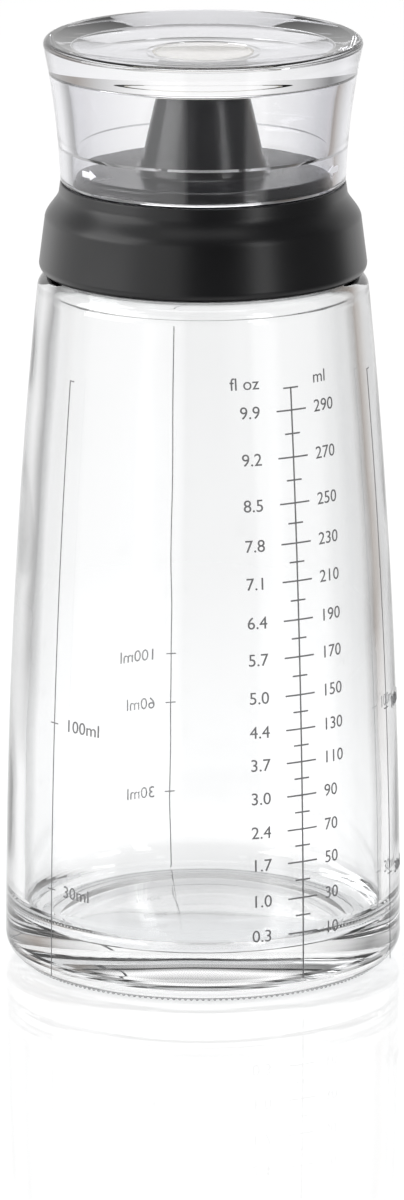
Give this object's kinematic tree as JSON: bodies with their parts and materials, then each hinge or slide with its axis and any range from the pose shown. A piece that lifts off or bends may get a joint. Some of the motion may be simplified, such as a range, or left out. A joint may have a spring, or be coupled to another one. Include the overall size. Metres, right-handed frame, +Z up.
{
  "type": "salad dressing shaker bottle",
  "caption": "Tapered glass shaker bottle with a volume scale, a black screw collar with a conical pouring spout, and a clear twist cap with a dished top.",
  "frame": {"origin": "centre of the foot, on the surface that the bottle stands on", "axes": "+Z up along the bottle's axis; -Y is the front that the picture shows, with the volume scale turned 30 degrees towards +X"},
  "size_m": [0.0716, 0.0716, 0.1687],
  "materials": {
    "glass": "clear, polished",
    "gasket_silicone": "translucent silicone",
    "collar_plastic": "fine satin black",
    "spout_plastic": "smooth semi-gloss black",
    "seal_silicone": "translucent silicone",
    "clear_plastic": "clear, polished"
  },
  "bodies": {
    "bottle": {"bottle": "glass"},
    "gasket": {"neck_gasket": "gasket_silicone"},
    "collar": {"collar": "collar_plastic", "pour_spout": "spout_plastic"},
    "seal": {"cap_seal": "seal_silicone"},
    "cap": {"cap": "clear_plastic"}
  },
  "joints": [
    {"name": "collar_lift", "type": "slide", "parent": "bottle", "child": "gasket", "axis": [0, 0, 1], "range_m": [0, 0.017]},
    {"name": "collar_turn", "type": "hinge", "parent": "gasket", "child": "collar", "pos_m": [0, 0, 0.1345], "axis": [0, 0, 1], "range_deg": [0, 1440]},
    {"name": "cap_lift", "type": "slide", "parent": "collar", "child": "seal", "axis": [0, 0, 1], "range_m": [0, 0.0271]},
    {"name": "cap_turn", "type": "hinge", "parent": "seal", "child": "cap", "pos_m": [0, 0, 0.1432], "axis": [0, 0, 1], "range_deg": [0, 810]}
  ],
  "couplings": [
    {"joint": "collar_lift", "follows": "collar_turn", "m_per_rad": 0.00067322},
    {"joint": "cap_lift", "follows": "cap_turn", "m_per_rad": 0.0019099}
  ]
}
